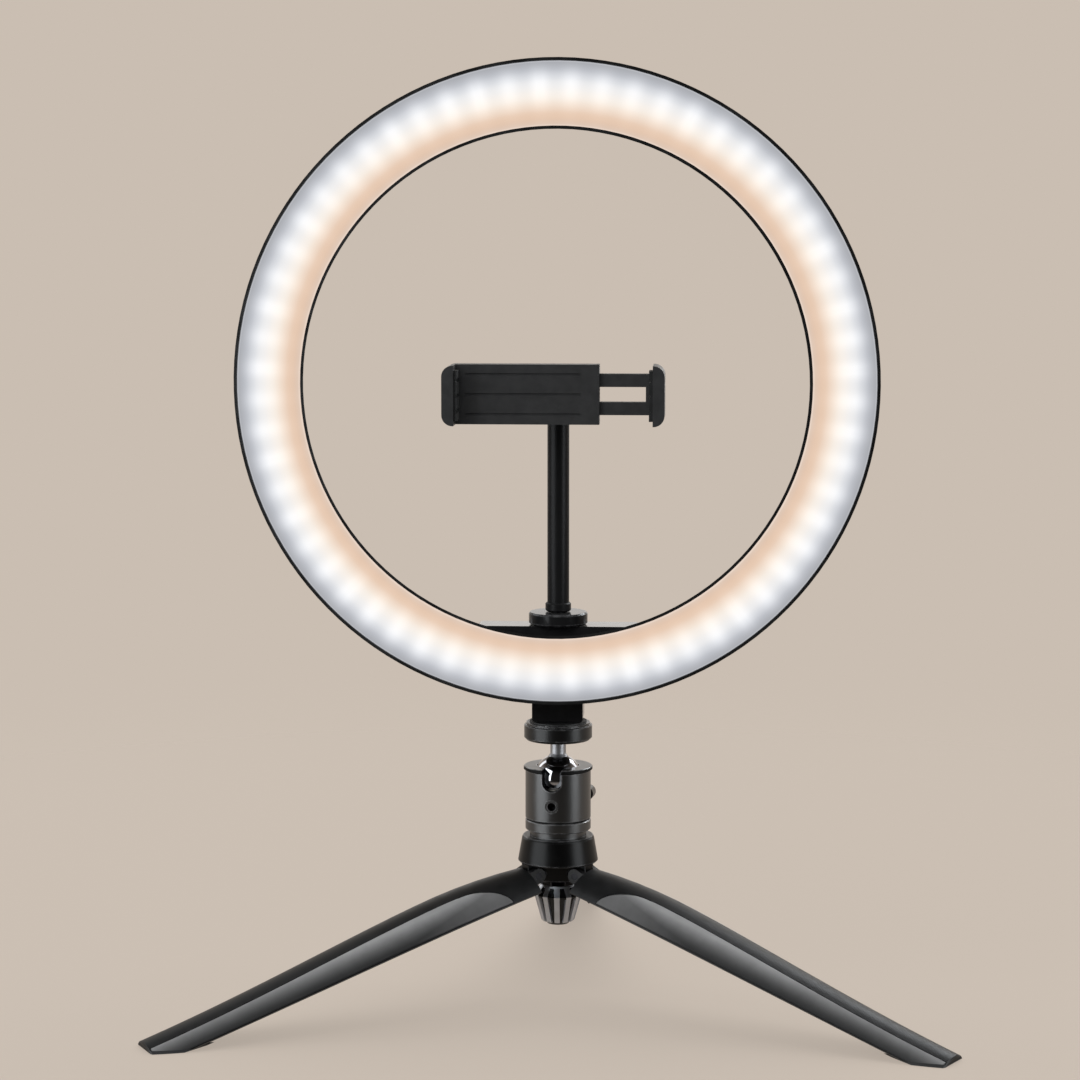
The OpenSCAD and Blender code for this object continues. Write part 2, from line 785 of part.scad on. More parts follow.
module jaw_spring() {
    color("silver") on_axis() translate([window_end + 0.1, channel_y, holder_z]) rotate([0, 90, 0])
        tube(spring_r, spring_r - 0.5, peg_x - 1.3 - window_end - 0.1);
}

// ---------------------------------------------------------------- ball head

module ball_stud() {
    color("silver") on_axis() {
        translate([0, 0, ball_z]) sphere(r = ball_r, $fn = FINE);
        translate([0, 0, ball_z + ball_r - 1.4]) cylinder(r1 = ball_neck_r + 1.2, r2 = ball_neck_r, h = 1.6);
        translate([0, 0, ball_z]) cylinder(r = ball_neck_r, h = platform_z + 1 - ball_z);
        translate([0, 0, platform_z]) cylinder(r = quarter_r, h = stud_top - platform_z - 1);
        translate([0, 0, stud_top - 1]) cylinder(r1 = quarter_r, r2 = quarter_r - 0.8, h = 1);
    }
}

module platform() {
    top = platform_h - rubber_t + 0.6;
    color([0.1, 0.1, 0.11]) on_axis() translate([0, 0, platform_z]) difference() {
        rotate_extrude($fn = FINE) polygon([
            [0, 0], [platform_r - 1, 0], [platform_r, 1], [platform_r, top - 1.2],
            [platform_r - 0.9, top - 0.9], [platform_r - 0.9, top], [0, top]
        ]);
        translate([0, 0, -1]) cylinder(r = ball_neck_r + seat_fit, h = 2);
        cylinder(r = quarter_r + seat_fit, h = 20);
        translate([0, 0, platform_h - rubber_t]) cylinder(r = platform_r - 2.2, h = 5);
    }
}

module platform_pad() {
    color([0.16, 0.16, 0.16]) on_axis() translate([0, 0, stack_z - rubber_t])
        tube(platform_r - 2.3, quarter_r + 0.3, rubber_t);
}

// Cup for the ball with a lipped rim, a U notch and the clamp's cross bore
module head_body() {
    lip = head_r + lip_w;
    color([0.14, 0.14, 0.15]) difference() {
        in_head() rotate_extrude($fn = FINE) polygon([
            [0, head_z], [head_r - 0.5, head_z], [head_r, head_z + 0.5], [head_r, lip_z],
            [lip, lip_z + 0.4], [lip, rim_z - 0.4], [lip - 0.4, rim_z], [0, rim_z]
        ]);
        in_head() {
            translate([0, 0, head_z - 1]) cylinder(r = socket_ball_r, h = ball_z - head_z + 1);
            translate([0, 0, ball_z]) sphere(r = socket_ball_r, $fn = FINE);
            translate([0, 0, ball_z]) rotate([90, 0, 0]) cylinder(r = notch_r, h = 2 * head_r);
            translate([-notch_r, -2 * head_r, ball_z]) cube([2 * notch_r, 2 * head_r, 20]);
        }
        on_clamp() cylinder(r = clamp_r + run_fit, h = 2 * head_r);
        on_clamp(-2 * head_r) cylinder(r = seat_screw_r, h = 2 * head_r);
        on_clamp(-head_r - 1) cylinder(r = seat_screw_r + 1, h = 1.3);
    }
}

// Sliding cup under the ball, wedged up by the clamp screw's point
module ball_seat() {
    color("ivory") difference() {
        in_head() translate([0, 0, seat_z]) cylinder(r = socket_ball_r - seat_fit, h = seat_top - seat_z);
        in_head() translate([0, 0, ball_z]) sphere(r = ball_r + slide_gap / 2, $fn = FINE);
        on_clamp(clamp_tip - slide_gap) {
            cylinder(r1 = clamp_r - 1.1, r2 = clamp_r + slide_gap, h = 2);
            translate([0, 0, 2]) cylinder(r = clamp_r + slide_gap, h = head_r);
        }
        on_clamp(-2 * head_r) cylinder(r = seat_screw_r, h = 2 * head_r - 7);
    }
}

module seat_screw() {
    color([0.08, 0.08, 0.08]) on_clamp(screw_sink - head_r) difference() {
        cylinder(r = seat_screw_r - seat_fit, h = head_r - screw_sink - 7.2);
        translate([0, 0, -1]) cylinder(r = 0.8, h = 2.4, $fn = 6);
    }
}

module clamp_screw() {
    color("silver") on_clamp() {
        translate([0, 0, clamp_tip]) cylinder(r1 = clamp_r - 1.4, r2 = clamp_r, h = 2);
        translate([0, 0, clamp_tip + 2]) cylinder(r = clamp_r, h = knob_back + 5 - clamp_tip - 2);
    }
}

// Wing knob: a round hub with two rounded wings
module clamp_knob() {
    wing = wing_h / 2;
    color([0.08, 0.08, 0.09]) difference() {
        on_clamp(knob_back) {
            disc(4.6, 9, 0.6);
            translate([0, 0, 1.5]) linear_extrude(6) union() {
                for (side = [-1, 1]) {
                    translate([side * (wing_len / 2 - wing), 0]) circle(r = wing);
                    polygon([
                        [0, -2.2], [side * (wing_len / 2 - wing), -wing],
                        [side * (wing_len / 2 - wing), wing], [0, 2.2]
                    ]);
                }
            }
        }
        on_clamp() cylinder(r = clamp_r + seat_fit, h = knob_back + 5.2);
    }
}

module head_base() {
    color([0.12, 0.12, 0.13]) on_axis() difference() {
        rotate_extrude($fn = FINE) polygon([
            [0, collar_top], [head_r - 1.8, collar_top], [head_r - 1.8, band_z],
            [head_r - 0.3, band_z], [head_r, band_z + 0.3], [head_r, band_top - 0.3],
            [head_r - 0.3, band_top], [socket_ball_r - run_fit, band_top],
            [socket_ball_r - run_fit, spigot_z], [0, spigot_z]
        ]);
        translate([0, 0, collar_z]) cylinder(r = thread_r, h = spigot_z);
    }
}

// ---------------------------------------------------------------- hub

module hub_collar() {
    color([0.06, 0.06, 0.07]) on_axis() difference() {
        rotate_extrude($fn = FINE) polygon([
            [0, collar_z], [collar_r - 0.6, collar_z], [collar_r, collar_z + 0.6],
            [collar_top_r + 0.3, collar_top - 0.9], [collar_top_r - 0.2, collar_top], [0, collar_top]
        ]);
        translate([0, 0, collar_z - 1]) cylinder(r = core_r + seat_fit, h = core_top - collar_z + 1);
        cylinder(r = quarter_r + slide_gap, h = 2 * collar_top);
    }
}

// Core with three hinge lugs, and a pocket beside each for a leg's ears
module hinge_core() {
    color([0.1, 0.1, 0.1]) on_axis() difference() {
        union() {
            difference() {
                rotate_extrude($fn = FINE) polygon([
                    [0, core_z], [core_low_r, core_z], [core_r, collar_z], [core_r, core_top], [0, core_top]
                ]);
                for (turn = [LEG_LEFT, LEG_RIGHT, LEG_BACK]) {
                    rotate([0, 0, turn]) translate([pivot_r, 0, pivot_z]) rotate([90, 0, 0])
                        cylinder(r = ear_r + 0.4, h = hinge_w + 0.7, center = true);
                }
            }
            for (turn = [LEG_LEFT, LEG_RIGHT, LEG_BACK]) {
                rotate([0, 0, turn]) intersection() {
                    union() {
                        translate([pivot_r, 0, pivot_z]) rotate([90, 0, 0])
                            cylinder(r = lug_r, h = lug_t, center = true);
                        translate([pivot_r - lug_r - 2, -lug_t / 2, pivot_z])
                            cube([2 * lug_r + 2, lug_t, collar_z - pivot_z]);
                    }
                    translate([0, -lug_t, 0]) cube([30, 2 * lug_t, collar_z]);
                }
            }
        }
        for (turn = [LEG_LEFT, LEG_RIGHT, LEG_BACK]) {
            rotate([0, 0, turn]) translate([pivot_r, 0, pivot_z]) rotate([90, 0, 0])
                cylinder(r = pin_r + seat_fit, h = 3 * lug_t, center = true);
        }
        cylinder(r = quarter_r + slide_gap, h = 2 * collar_top);
    }
}

module hinge_pins() {
    color("silver") on_axis() for (turn = [LEG_LEFT, LEG_RIGHT, LEG_BACK]) {
        rotate([0, 0, turn]) translate([pivot_r, 0, pivot_z]) rotate([90, 0, 0])
            cylinder(r = pin_r, h = hinge_w, center = true);
    }
}

// ---------------------------------------------------------------- centre knob

module knob_core() {
    color([0.06, 0.06, 0.06]) on_axis() difference() {
        rotate_extrude($fn = FINE) polygon([
            [0, knob_tip_z], [knob_tip_r, knob_tip_z], [knob_low_r - rib_out, knob_low_z],
            [knob_r - rib_out, knob_wide_z - 0.8], [knob_top_r - 0.8, knob_top_z - 0.4], [0, knob_top_z - 0.4]
        ]);
        translate([0, 0, knob_low_z + 3]) cylinder(r = quarter_r + seat_fit, h = collar_z);
    }
}

// Flared top ring with ribs that run down the knob
module knob_ribs() {
    color([0.66, 0.66, 0.68]) on_axis() difference() {
        union() {
            rotate_extrude($fn = FINE) polygon([
                [knob_r - rib_out - 0.4, knob_wide_z - 1.4], [knob_r - 0.2, knob_wide_z - 1.4],
                [knob_r, rib_z], [knob_r - 0.3, knob_wide_z], [knob_top_r, knob_top_z],
                [knob_top_r - 1.6, knob_top_z], [knob_top_r - 1.6, knob_wide_z - 1.4]
            ]);
            intersection() {
                rotate_extrude($fn = FINE) polygon([
                    [knob_low_r - rib_out - 1, knob_low_z], [knob_low_r - 0.4, knob_low_z],
                    [knob_low_r, knob_low_z + 0.6], [knob_r, rib_z], [knob_r - rib_out - 1, rib_z]
                ]);
                union() {
                    for (i = [0:rib_count - 1]) {
                        rotate([0, 0, -90 + i * 360 / rib_count])
                            translate([0, -rib_w / 2, knob_low_z - 1]) cube([knob_r + 2, rib_w, knob_len + 2]);
                    }
                }
            }
        }
        rotate_extrude($fn = FINE) polygon([
            [0, knob_tip_z - 1], [knob_tip_r, knob_tip_z - 1], [knob_tip_r, knob_tip_z],
            [knob_low_r - rib_out, knob_low_z], [knob_r - rib_out, knob_wide_z - 0.8],
            [knob_top_r - 0.8, knob_top_z - 0.4], [knob_top_r - 0.8, knob_top_z + 1], [0, knob_top_z + 1]
        ]);
    }
}

module centre_screw() {
    color("silver") on_axis() translate([0, 0, knob_low_z + 3.2])
        cylinder(r = quarter_r, h = spigot_z - 0.6 - knob_low_z - 3.2);
}

// ---------------------------------------------------------------- legs

// Children are drawn as on a closed leg that hangs along the tripod's axis, and swung open
module open_leg(turn) {
    on_axis() rotate([0, 0, turn]) translate([pivot_r, 0, pivot_z]) rotate([0, -fold, 0])
        translate([-pivot_r, 0, 0]) children();
}

// Part of the closed grip's shell between two depths, two distances and two angles
module grip_shell(out, deep, s0, s1, a0, a1) {
    list = stations(s0, s1);
    rotate([0, 0, a0]) rotate_extrude(angle = a1 - a0, $fn = FINE) polygon(concat(
        [for (s = list) [leg_r(s) + out, -s]],
        [for (i = [len(list) - 1:-1:0]) [leg_r(list[i]) - deep, -list[i]]]
    ));
}

// Side view of the inlay: a round end by the hinge, then straight to the leg's end
module inlay_outline(gap) {
    low = leg_r(inlay_s) * cos(leg_half);
    centre = inlay_s + dome_len;
    rise = sqrt(pow(leg_r(centre), 2) - pow(strip_w, 2)) - low - gap;
    end = leg_len - end_rim - gap;
    polygon(concat(
        [[low - 12, -(inlay_s + gap)]],
        [for (a = [0:10:90]) [low + rise * sin(a), -(centre - (dome_len - gap) * cos(a))]],
        [[2 * leg_max_r, -centre], [2 * leg_max_r, -end], [low - 12, -end]]
    ));
}

// Both inlays of one leg, from a depth below the surface to a height above it
module inlays(out, deep, gap) {
    low_edge = leg_half - edge_angle - gap / leg_max_r * 180 / PI;
    for (side = [0, 1]) {
        mirror([0, side, 0]) intersection() {
            grip_shell(out, deep, root_s, leg_len, 5, low_edge);
            between(strip_w + gap, far) inlay_outline(gap);
        }
    }
}

// Keeps what lies above a level near the floor
module above(level) {
    intersection() {
        children();
        translate([-far, -far, level]) cube(2 * far);
    }
}

// Third of the grip's shell, with a pair of hinge ears and a recess on each flank
module leg(turn) {
    color([0.08, 0.08, 0.09]) above(sole_t + 0.05) open_leg(turn) difference() {
        union() {
            difference() {
                grip_shell(0, leg_wall, root_s, leg_len, -leg_half, leg_half);
                inlays(2, inlay_t, 0);
            }
            for (side = [0, 1]) {
                mirror([0, side, 0]) between(ear_in, ear_in + ear_t) union() {
                    translate([pivot_r, 0]) circle(r = ear_r);
                    polygon([
                        [pivot_r, 0], [pivot_r + ear_r, 0], [leg_r(4) - leg_wall / 2, -4],
                        [leg_r(16) - leg_wall / 2 - 0.6, -16], [pivot_r + 0.6, 0.1 - ear_r]
                    ]);
                }
            }
        }
        translate([pivot_r, 0, 0]) rotate([90, 0, 0])
            cylinder(r = pin_r + run_fit / 2, h = 2 * hinge_w, center = true);
    }
}

module grips(turn) {
    color([0.42, 0.42, 0.44]) above(sole_t + 0.05) open_leg(turn) inlays(0, inlay_t - 0.05, seam);
}

// Rubber plug inside the leg's end, with a sole that lies flat on the floor
module foot(turn) {
    color([0.05, 0.05, 0.05]) above(0) difference() {
        open_leg(turn) grip_shell(0, foot_wall, foot_s - foot_len, leg_len, -leg_half, leg_half);
        above(sole_t) open_leg(turn) union() {
            grip_shell(1, leg_wall + 0.05, foot_s - 1, leg_len + 1, -leg_half - 5, leg_half + 5);
            translate([-far, -far, -foot_s]) cube(2 * far);
            translate([-far, -far, end_rim - leg_len - 2 * far]) cube(2 * far);
        }
    }
}

module leg_left() {
    leg(LEG_LEFT);
}

module leg_right() {
    leg(LEG_RIGHT);
}

module leg_back() {
    leg(LEG_BACK);
}

module grips_left() {
    grips(LEG_LEFT);
}

module grips_right() {
    grips(LEG_RIGHT);
}

module grips_back() {
    grips(LEG_BACK);
}

module foot_left() {
    foot(LEG_LEFT);
}

module foot_right() {
    foot(LEG_RIGHT);
}

module foot_back() {
    foot(LEG_BACK);
}

// ---------------------------------------------------------------- drawing

hub_collar();
hinge_core();
hinge_pins();
head_base();
knob_core();
knob_ribs();
centre_screw();
leg_left();
grips_left();
foot_left();
leg_right();
grips_right();
foot_right();
leg_back();
grips_back();
foot_back();
head_body();
ball_seat();
seat_screw();
clamp_knob();
clamp_screw();
ball_stud();
platform();
platform_pad();
lamp_bracket();
bracket_screws();
lower_insert();
upper_insert();
rear_housing();
housing_screws();
board_nuts();
led_board();
leds_cool();
leds_warm();
diffuser();
cable_gland();
lock_wheel();
rod_stud();
holder_rod();
socket_nut();
clip_body();
fixed_pad();
jaw_slider();
moving_pad();
jaw_spring();
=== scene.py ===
# %% [markdown]
# # A ring light on a table tripod
# A ring of LEDs behind an opal face stands on a small tripod with a ball head, and a rod carries a
# telephone clip in the middle of the ring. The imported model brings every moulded, turned and
# stamped piece in its real size and place, on the body that it moves with. This notebook adds what
# solids can't hold: the finishes, the glow of the face, a coiled spring and the light of a studio.

# %% Load the frame
import math

import bpy
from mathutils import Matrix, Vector


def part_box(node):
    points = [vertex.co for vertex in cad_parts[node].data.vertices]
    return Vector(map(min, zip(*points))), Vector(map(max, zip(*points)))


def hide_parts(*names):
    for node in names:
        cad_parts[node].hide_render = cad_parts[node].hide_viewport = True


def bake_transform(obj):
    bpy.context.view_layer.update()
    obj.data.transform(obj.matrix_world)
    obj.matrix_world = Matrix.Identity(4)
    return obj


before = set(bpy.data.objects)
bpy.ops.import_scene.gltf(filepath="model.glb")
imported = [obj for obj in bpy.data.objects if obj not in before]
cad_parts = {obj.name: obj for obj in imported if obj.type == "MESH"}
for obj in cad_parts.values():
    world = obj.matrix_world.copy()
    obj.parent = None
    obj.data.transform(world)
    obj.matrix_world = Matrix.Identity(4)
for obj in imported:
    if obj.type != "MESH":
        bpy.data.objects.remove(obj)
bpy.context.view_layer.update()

# %% [markdown]
# ## Camera
# A tabletop lamp is pictured from a little above its ring's middle and from a good metre away, so
# that the ring stays round. The camera could be shifted to keep upright lines upright, but it is
# pitched down a few degrees instead, because a shift would spoil every other view of the piece.

# %% Camera
low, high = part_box("hub_collar")
AXIS = Vector(((low[0] + high[0]) / 2, (low[1] + high[1]) / 2, 0))
CAMERA_AWAY = 1.2
CAMERA_SIDE = math.radians(3.0)
CAMERA_HEIGHT = 0.3307
CAMERA_PITCH = math.radians(6.617)
CAMERA_YAW = math.radians(0.36)
SENSOR_MM = 36
LENS_MM = 97.7

camera_data = bpy.data.cameras.new("camera")
camera_data.sensor_width = SENSOR_MM
camera_data.lens = LENS_MM
camera_data.clip_end = 50
camera = bpy.data.objects.new("camera", camera_data)
camera.location = AXIS + Vector((
    CAMERA_AWAY * math.sin(CAMERA_SIDE), -CAMERA_AWAY * math.cos(CAMERA_SIDE), CAMERA_HEIGHT))
camera.rotation_euler = (math.pi / 2 - CAMERA_PITCH, 0, CAMERA_SIDE + CAMERA_YAW)
bpy.context.scene.collection.objects.link(camera)
bpy.context.scene.camera = camera
print("camera stands", round(camera.location.y, 3), "m in front, lens", camera_data.lens)

# %% [markdown]
# ## Node helpers
# Every look below is drawn with shader nodes. Adding each node and link by hand hides the idea, so
# a few helpers do it, and a look then reads like a formula: sums and products of sockets, a range
# that is mapped onto another, two colours or two shaders mixed by a mask.


# %% Node helpers
def feed(tree, sockets, values):
    """Sets each socket, or links it where the value is another node's socket."""
    for socket, value in zip(sockets, values):
        if isinstance(value, (int, float, tuple)):
            socket.default_value = value
        else:
            tree.links.new(value, socket)


def maths(tree, operation, *values):
    """Adds one Math node."""
    node = tree.nodes.new("ShaderNodeMath")
    node.operation = operation
    feed(tree, node.inputs, values)
    return node.outputs[0]


def hypotenuse(tree, a, b):
    """The length of a line that reaches a one way and b square to it."""
    squares = maths(tree, "ADD", maths(tree, "MULTIPLY", a, a), maths(tree, "MULTIPLY", b, b))
    return maths(tree, "SQRT", squares)


def ranged(tree, value, low_in, high_in, low_out, high_out, smooth=False):
    """Maps a socket's range onto another and holds it there."""
    node = tree.nodes.new("ShaderNodeMapRange")
    node.interpolation_type = "SMOOTHSTEP" if smooth else "LINEAR"
    names = ("Value", "From Min", "From Max", "To Min", "To Max")
    feed(tree, [node.inputs[name] for name in names], (value, low_in, high_in, low_out, high_out))
    return node.outputs[0]


def mixed(tree, blend_type, factor, first, second):
    """Blends two colours."""
    node = tree.nodes.new("ShaderNodeMix")
    node.data_type = "RGBA"
    node.blend_type = blend_type
    feed(tree, [node.inputs[name] for name in ("Factor", "A", "B")], (factor, first, second))
    return node.outputs["Result"]


def shader_mix(tree, factor, first, second):
    """Mixes two shaders; the factor is a number or a socket."""
    node = tree.nodes.new("ShaderNodeMixShader")
    feed(tree, node.inputs, (factor, first, second))
    return node.outputs[0]


def coordinates(tree, where):
    """The x, y and z of a place."""
    node = tree.nodes.new("ShaderNodeSeparateXYZ")
    tree.links.new(where, node.inputs[0])
    return node.outputs


def coordinate_source(tree, kind):
    return tree.nodes.new("ShaderNodeTexCoord").outputs[kind]


# %% [markdown]
# ## Room
# The room is one warm stone colour. A curved paper sweep would do in a real studio, but its bend
# would show in views from the side. So the world itself shows the colour to the camera and to
# mirrors, and sends plain grey daylight onto the piece. Mirrors see it dimmer on the camera's
# side and overhead, where a studio is dark: black finishes stay deep black there and turn pale
# only along their edges and flat tops.

# %% Room
ROOM = (0.591, 0.515, 0.445, 1)
DAYLIGHT = (0.93, 0.96, 1, 1)
SKY = 0.20
GROUND = 0.03
DUSK = (-0.3, 0.6)
DARK_SIDE = 0.04
SIDE_FADE = (-0.5, 0.3)
DARK_CEILING = 0.12
CEILING_FADE = (0.25, 0.75)

world = bpy.data.worlds.new("room")
bpy.context.scene.world = world
world.use_nodes = True
tree = world.node_tree
tree.nodes.clear()


def background(colour, strength):
    node = tree.nodes.new("ShaderNodeBackground")
    feed(tree, node.inputs, (colour, strength))
    return node.outputs[0]


rays = tree.nodes.new("ShaderNodeLightPath").outputs
direct = maths(tree, "MAXIMUM", rays["Is Camera Ray"], rays["Is Transmission Ray"])
_, towards_back, upwards = coordinates(tree, coordinate_source(tree, "Generated"))
by_side = ranged(tree, towards_back, *SIDE_FADE, DARK_SIDE, 1, smooth=True)
by_height = ranged(tree, upwards, *CEILING_FADE, 1, DARK_CEILING, smooth=True)
mirrored = background(ROOM, maths(tree, "MULTIPLY", by_side, by_height))
daylight = background(DAYLIGHT, ranged(tree, upwards, *DUSK, GROUND, SKY, smooth=True))
lit = shader_mix(tree, direct, daylight, background(ROOM, 1))
world_out = tree.nodes.new("ShaderNodeOutputWorld")
tree.links.new(shader_mix(tree, rays["Is Glossy Ray"], lit, mirrored), world_out.inputs[0])
bpy.context.scene.view_settings.view_transform = "Standard"
print("room colour", ROOM[:3])

# %% [markdown]
# ## Floor
# The tripod stands on a round opal table that is lit from below, as product studios use them. Most
# of its tone glows by itself and the rest is paint, so the piece still throws a shadow, but a faint
# one. A square sheet would show its edge from above, so the disc fades out. For the camera it does
# so far from the piece; mirrors see only the part round the feet, or blacks would turn grey.

# %% Floor
FLOOR_RADIUS = 0.9
FLOOR_SOLID = 0.22
FLOOR_FADE = 0.42
FLOOR_BELOW_SOLES = 0.0002
PAPER = (0.570, 0.496, 0.427, 1)
DIM_PAPER = (0.12, 0.11, 0.10, 1)
TABLE_GLOW = 0.72
MIRRORED_SHARE = 0.6
CAMERA_REACH = 2

bpy.ops.mesh.primitive_circle_add(
    vertices=96, radius=FLOOR_RADIUS, fill_type="NGON", location=(0, 0, -FLOOR_BELOW_SOLES))
floor = bpy.context.object
floor.name = "floor"
paper = bpy.data.materials.new("floor_paper")
paper.use_nodes = True
tree = paper.node_tree
tree.nodes.clear()


def paper_coat(colour):
    node = tree.nodes.new("ShaderNodeBsdfDiffuse")
    node.inputs["Color"].default_value = colour
    return node.outputs[0]


length = tree.nodes.new("ShaderNodeVectorMath")
length.operation = "LENGTH"
tree.links.new(coordinate_source(tree, "Object"), length.inputs[0])
rays = tree.nodes.new("ShaderNodeLightPath").outputs
mirrored = maths(tree, "MULTIPLY", rays["Is Glossy Ray"], MIRRORED_SHARE)
direct = maths(tree, "MAXIMUM", rays["Is Camera Ray"],
               maths(tree, "MAXIMUM", mirrored, rays["Is Transmission Ray"]))
glow = tree.nodes.new("ShaderNodeEmission")
glow.inputs["Color"].default_value = ROOM
opal_table = shader_mix(tree, TABLE_GLOW, paper_coat(PAPER), glow.outputs[0])
paint = shader_mix(tree, direct, paper_coat(DIM_PAPER), opal_table)
nearer = maths(tree, "MULTIPLY_ADD", rays["Is Camera Ray"], 1 / CAMERA_REACH - 1, 1)
away = maths(tree, "MULTIPLY", length.outputs["Value"], nearer)
faded = ranged(tree, away, FLOOR_SOLID, FLOOR_FADE, 0, 1, smooth=True)
clear = tree.nodes.new("ShaderNodeBsdfTransparent").outputs[0]
out = tree.nodes.new("ShaderNodeOutputMaterial")
tree.links.new(shader_mix(tree, faded, paint, clear), out.inputs[0])
floor.data.materials.append(paper)
print("floor disc", 2 * FLOOR_RADIUS, "m across, fades for mirrors from", FLOOR_SOLID, "to", FLOOR_FADE)

# %% [markdown]
# ## Lamps
# A wide sun from above and behind, like a skylight, shades every leg from pale to dark, and a
# weaker one in front opens the shadows. Both leave mirrors alone. Black pieces need more, because
# they show almost nothing but reflections: for them tall softboxes stand left and right, and draw
# the long soft highlights on posts and legs, smaller ones behind line their edges, and a low card
# makes flat tops shine. These are seen by glossy surfaces only, so they can be bright without
# bleaching anything.


# %% Lamp helpers
AIM_HEIGHT = 0.12
SUN_AWAY = 2
SOFTBOX_AWAY = 1.1
SOFTBOX_COLOUR = (0.93, 0.97, 1)


def aimed(name, light, side, rise, away):
    """Aims a lamp at the piece; side is in degrees from the front towards the right."""
    lamp = bpy.data.objects.new(name, light)
    a, e = math.radians(side), math.radians(rise)
    aim = AXIS + Vector((0, 0, AIM_HEIGHT))
    lamp.location = aim + away * Vector(
        (math.sin(a) * math.cos(e), -math.cos(a) * math.cos(e), math.sin(e)))
    lamp.rotation_euler = (aim - lamp.location).to_track_quat("-Z", "Y").to_euler()
    lamp.visible_camera = False
    bpy.context.scene.collection.objects.link(lamp)
    print(name, "stands at", [round(v, 2) for v in lamp.location])
    return lamp


def window(name, side, rise, strength, width):
    """Soft sunlight for colours; mirrors don't show it."""
    light = bpy.data.lights.new(name, "SUN")
    light.energy = strength
    light.angle = math.radians(width)
    aimed(name, light, side, rise, SUN_AWAY).visible_glossy = False


def softbox(name, side, rise, size, glow):
    """A bright card that only glossy surfaces see; a glow of 1 is white."""
    light = bpy.data.lights.new(name, "AREA")
    light.shape = "RECTANGLE"
    light.size, light.size_y = size
    light.energy = glow * math.pi * size[0] * size[1]
    light.color = SOFTBOX_COLOUR
    aimed(name, light, side, rise, SOFTBOX_AWAY).visible_diffuse = False


# %% [markdown]
# ### The lamps in their places
# Sides count from the front towards the right, so 180 degrees is behind the piece. A large card
# gives a broad highlight and a small one a narrow line: the small bright card high behind on the
# right runs a pale line along a leg's spine.

# %% Lamps
window("skylight", 172, 57, 3.0, 85)
window("front_window", -30, 38, 0.60, 60)
softbox("softbox_left", -57, 12, (0.95, 1.0), 5)
softbox("softbox_right", 65, 14, (0.58, 0.95), 6)
softbox("rim_left", -128, 25, (0.3, 0.9), 2)
softbox("rim_right", 132, 25, (0.3, 0.9), 2)
softbox("high_right", 142, 36, (0.3, 0.5), 8)
softbox("back_card", 180, 10, (0.8, 0.3), 0.7)
softbox("overhead", 0, 80, (0.5, 0.5), 1.5)

# %% [markdown]
# ## How a finish is made
# Most of this product is black, and blacks are told apart by how they shine: powder coat has a fine
# orange peel, moulded nylon a sandy grain, grip rubber hardly any gloss. Each finish is one
# principled shader. A coarse noise lets its colour and roughness wander a little, and a fine one
# raises its grain. Both are measured in the piece's own millimetres, so nothing slides when a joint
# moves; a bitmap would need unwrapping and would blur close up.


# %% Where a pattern lies
def own_place(tree):
    """The piece's own coordinates in metres."""
    return coordinate_source(tree, "Object")


def from_axis(tree):
    """How far a point lies right of the upright axis, behind it and away from it, and its height."""
    x, y, height = coordinates(tree, own_place(tree))
    x = maths(tree, "SUBTRACT", x, AXIS.x)
    y = maths(tree, "SUBTRACT", y, AXIS.y)
    return x, y, hypotenuse(tree, x, y), height


def turned_place(tree):
    """Distance from the axis and height alone, so that a pattern runs round as on a lathe."""
    _, _, reach, height = from_axis(tree)
    join = tree.nodes.new("ShaderNodeCombineXYZ")
    feed(tree, join.inputs, (reach, 0, height))
    return join.outputs[0]


# Nearly all of a noise lies between these two levels
CLOUD = (0.35, 0.65)


def noise(tree, where, size_mm, detail=3):
    """A cloud whose lumps are about size_mm wide."""
    node = tree.nodes.new("ShaderNodeTexNoise")
    node.inputs["Scale"].default_value = 1000 / size_mm
    node.inputs["Detail"].default_value = detail
    tree.links.new(where, node.inputs["Vector"])
    return node.outputs["Fac"]


# %% [markdown]
# ### Worn edges
# Handling polishes a coat off its sharp edges first, here and there. The bevel node gives the normal
# that the surface would have if its edges were rounded: where it leans away from the true normal an
# edge is near, and a noise breaks the line up.


# %% Worn edges
EDGE_MM = 0.8
EDGE_LEAN = (0.88, 0.985)
PATCH_MM = 2.5
PATCHES = (0.36, 0.56)
LEAST_WEAR = 0.15


def worn_edges(tree):
    """1 on worn stretches of an edge, 0 elsewhere."""
    rounded = tree.nodes.new("ShaderNodeBevel")
    rounded.samples = 4
    rounded.inputs["Radius"].default_value = EDGE_MM / 1000
    lean = tree.nodes.new("ShaderNodeVectorMath")
    lean.operation = "DOT_PRODUCT"
    true_normal = tree.nodes.new("ShaderNodeNewGeometry").outputs["Normal"]
    feed(tree, lean.inputs, (rounded.outputs["Normal"], true_normal))
    near = ranged(tree, lean.outputs["Value"], *EDGE_LEAN, 1, 0)
    patches = ranged(tree, noise(tree, own_place(tree), PATCH_MM), *PATCHES, LEAST_WEAR, 1)
    return maths(tree, "MULTIPLY", near, patches)


# %% [markdown]
# ### One finish
# A finish joins all this: tint and roughness follow the coarse noise, bare edges lie over the tint,
# and a bump node turns the fine noise into grain. Where a piece has a second zone, such as the dark
# lip of painted shade, a plain shader is mixed in by a mask.


# %% Finish helpers
def new_material(name):
    material = bpy.data.materials.new(name)
    material.use_nodes = True
    tree = material.node_tree
    return material, tree, tree.nodes["Principled BSDF"]


def surface(tree, shader):
    """Shows another shader instead of the material's first one."""
    tree.links.new(shader, tree.nodes["Material Output"].inputs["Surface"])


def plain_shader(tree, colour, roughness, level):
    """A second principled shader for a zone of a piece."""
    shader = tree.nodes.new("ShaderNodeBsdfPrincipled")
    names = ("Base Color", "Roughness", "Specular IOR Level")
    feed(tree, [shader.inputs[name] for name in names], ((*colour, 1), roughness, level))
    return shader.outputs[0]


